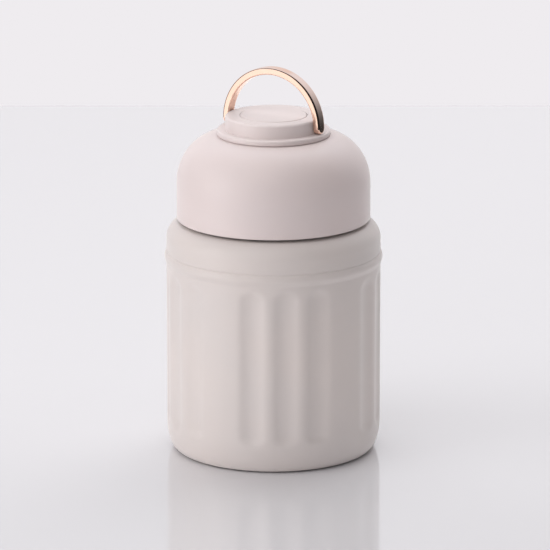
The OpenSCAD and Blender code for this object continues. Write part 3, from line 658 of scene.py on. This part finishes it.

# %% [markdown]
# ## Table and backdrop
# The jar stands on a pale glossy table top that ends in front of a pale backdrop. A brighter backdrop is
# often made with more light, but that would wash out the jar. So the backdrop glows for the camera and for
# polished metal alone, through the Light Path node, and the table is paler for the light that bounces off
# it than for the camera. The table still takes the jar's shadow. A clear coat, for the camera alone, gives
# it a faint reflection. Its colour is painted a touch darker in front of the jar than behind it, as painted
# shade where less light falls near the front.

# %% Set the table and the backdrop
def stage_plane(name, corners, material):
    """A flat staged rectangle from four corners (right, back, up) in metres, counted from the jar with the
    camera in front: x = right cos a - back sin a, y = right sin a + back cos a."""
    right, back, up = np.array(corners, float).T
    cos_a, sin_a = math.cos(CAMERA_AZIMUTH), math.sin(CAMERA_AZIMUTH)
    points = np.column_stack([right * cos_a - back * sin_a, right * sin_a + back * cos_a, up])
    mesh = bpy.data.meshes.new(name)
    mesh.from_pydata(points.tolist(), [], [[0, 1, 2, 3]])
    mesh.materials.append(material)
    plane = bpy.data.objects.new(name, mesh)
    scene.collection.objects.link(plane)
    print(name, "from", points.min(axis=0).round(2), "to", points.max(axis=0).round(2))


TABLE_LEFT, TABLE_RIGHT, TABLE_FRONT, TABLE_BACK = -0.44, 0.44, -0.36, 0.72
SEEN, NEAR_PAINTED_SHADE, BOUNCED = 0.655, 0.575, 0.95
SEEN_TINT, BOUNCED_TINT = (1, 0.985, 1.02), (1, 0.995, 1.01)
PAINTED_SHADE_FRONT, PAINTED_SHADE_BACK = -0.22, 0.12
table_finish = Finish("table_top", Roughness=0.10, Coat_Roughness=0.08)
seen = table_finish.node("ShaderNodeLightPath", output="Is Camera Ray")
table_finish.feed(table_finish.surface.inputs["Coat Weight"], seen)
away = (-math.sin(CAMERA_AZIMUTH), math.cos(CAMERA_AZIMUTH), 0)
backwards = table_finish.node("ShaderNodeVectorMath", {"operation": "DOT_PRODUCT"},
                              {0: table_finish.point, 1: away}, "Value")
# painted shade: the table colour the camera sees darkens towards the front, standing in for less light
# falling there
seen_tone_with_painted_shade = table_finish.blend(table_finish.between(backwards, PAINTED_SHADE_FRONT, PAINTED_SHADE_BACK),
                               tinted((NEAR_PAINTED_SHADE, NEAR_PAINTED_SHADE, NEAR_PAINTED_SHADE), SEEN_TINT), tinted((SEEN, SEEN, SEEN), SEEN_TINT))
table_tone = table_finish.blend(seen, tinted((BOUNCED, BOUNCED, BOUNCED), BOUNCED_TINT), seen_tone_with_painted_shade)
table_corners = [(TABLE_LEFT, TABLE_FRONT, 0), (TABLE_RIGHT, TABLE_FRONT, 0),
                 (TABLE_RIGHT, TABLE_BACK, 0), (TABLE_LEFT, TABLE_BACK, 0)]
stage_plane("table", table_corners, table_finish.paint(table_tone))

PALE, BLACK = (0.863, 0.838, 0.863), (0, 0, 0)
WALL_BACK, WALL_SIDE, WALL_LOW, WALL_HIGH = 2.4, 3, -1.5, 1.6
backdrop_finish = Finish("backdrop", Roughness=1.0, Base_Color=(*BLACK, 1), Specular_IOR_Level=0,
                         Emission_Strength=1)
seen = backdrop_finish.node("ShaderNodeLightPath", output="Is Camera Ray")
mirrored = backdrop_finish.node("ShaderNodeLightPath", output="Is Glossy Ray")
through = backdrop_finish.node("ShaderNodeLightPath", output="Is Transmission Ray")
backdrop_finish.feed(backdrop_finish.surface.inputs["Emission Color"],
                     backdrop_finish.blend(seen + mirrored + through, BLACK, PALE))
wall_corners = [(-WALL_SIDE, WALL_BACK, WALL_LOW), (WALL_SIDE, WALL_BACK, WALL_LOW),
                (WALL_SIDE, WALL_BACK, WALL_HIGH), (-WALL_SIDE, WALL_BACK, WALL_HIGH)]
stage_plane("backdrop", wall_corners, backdrop_finish.material)

# %% [markdown]
# ## Lamps
# A large soft box on the left models the round body, others overhead and behind light the tops, and a
# narrow one on the right keeps the dark side from merging with the table. Each is hidden from glossy rays,
# because polished metal would show it as a hard bright square. Instead, one mirror card, which only glossy
# rays see, draws the soft bright streak along the handle.

# %% Light the jar
def soft_box(name, azimuth, elevation, distance, size, power):
    """A rectangular light on a sphere round the jar, facing it. Angles are in degrees, and the azimuth
    counts from the camera's; distance and size are in metres, and the power in watts."""
    data = bpy.data.lights.new(name, "AREA")
    data.shape = "RECTANGLE"
    data.size, data.size_y = size
    data.energy = power
    light = bpy.data.objects.new(name, data)
    scene.collection.objects.link(light)
    turn, rise = CAMERA_AZIMUTH + math.radians(azimuth), math.radians(elevation)
    light.location = on_sphere(turn, rise, distance)
    light.rotation_euler = (math.pi / 2 - rise, 0, turn)
    light.visible_camera = False
    light.visible_glossy = False
    return light


soft_box("left_soft_box", -70, 16, 1.5, (1.1, 1.2), 12.0)
soft_box("front_left_box", -20, 16, 1.5, (0.8, 1.2), 2.6)
soft_box("right_strip", 122, 16, 1.5, (0.5, 1.2), 2.7)
soft_box("back_light", 180, 18, 1.6, (2.4, 1.1), 6.3)
soft_box("top_box", 180, 65, 1.5, (1.4, 1.0), 10.6)
soft_box("front_top_box", -30, 60, 1.5, (1.2, 1.0), 7.0)
soft_box("back_right_box", 150, 45, 1.5, (0.8, 0.8), 3.4)
card = soft_box("mirror_card", -62, 8, 1.3, (0.9, 1.2), 4.4)
card.visible_diffuse, card.visible_glossy = False, True

# %% [markdown]
# ## The room
# The world is the room round the table, and it answers each kind of ray in its own way. To the camera it
# is as pale as the backdrop. To the jar's matt surfaces it is a weak even fill. Metal shows what stands
# round it, and to metal the room is dark in front and at the sides and bright behind and above: that draws
# the thin dark lines along the handle's edges. An image of a real studio could do this, but two mixes and
# one smooth step are enough, and each can be set by itself.

# %% Fill the room
FILL_COLOUR, FILL_STRENGTH = (0.8, 0.79, 0.81, 1), 0.42
MIRROR_COLOUR, MIRROR_DARK, MIRROR_BRIGHT = (0.89, 1.0, 1.15, 1), 0.015, 1.0
BRIGHT_BACK, BRIGHT_UP = 0.85, 0.53
STEP_FROM, STEP_TO = 0.2, 0.95

world = bpy.data.worlds.new("studio")
world.use_nodes = True
room = world.node_tree
seen = room.nodes.new("ShaderNodeLightPath")


def background(colour, strength, node=None):
    """A background of one colour; the strength may be set again by a link."""
    node = node or room.nodes.new("ShaderNodeBackground")
    node.inputs["Color"].default_value = colour
    node.inputs["Strength"].default_value = strength
    return node


def mix_by(ray, without, with_it):
    """Shows one background to rays of this kind and the other to the rest."""
    mix = room.nodes.new("ShaderNodeMixShader")
    room.links.new(seen.outputs[ray], mix.inputs[0])
    room.links.new(without.outputs[0], mix.inputs[1])
    room.links.new(with_it.outputs[0], mix.inputs[2])
    return mix


looked_at = room.nodes.new("ShaderNodeTexCoord")
towards = room.nodes.new("ShaderNodeVectorMath")
towards.operation = "DOT_PRODUCT"
room.links.new(looked_at.outputs["Generated"], towards.inputs[0])
towards.inputs[1].default_value = (
    -BRIGHT_BACK * math.sin(CAMERA_AZIMUTH), BRIGHT_BACK * math.cos(CAMERA_AZIMUTH), BRIGHT_UP)
rise = room.nodes.new("ShaderNodeMapRange")
rise.interpolation_type = "SMOOTHSTEP"
for socket, value in (("From Min", STEP_FROM), ("From Max", STEP_TO), ("To Min", MIRROR_DARK),
                      ("To Max", MIRROR_BRIGHT)):
    rise.inputs[socket].default_value = value
room.links.new(towards.outputs["Value"], rise.inputs["Value"])
fill = background(FILL_COLOUR, FILL_STRENGTH, room.nodes["Background"])
mirror_room = background(MIRROR_COLOUR, MIRROR_BRIGHT)
room.links.new(rise.outputs["Result"], mirror_room.inputs["Strength"])
all_rays = mix_by("Is Camera Ray", mix_by("Is Glossy Ray", fill, mirror_room), background((*PALE, 1), 1.0))
room.links.new(all_rays.outputs[0], room.nodes["World Output"].inputs["Surface"])
scene.world = world
scene.view_settings.view_transform = "Standard"
print("room fill", FILL_STRENGTH, "nodes", len(room.nodes))
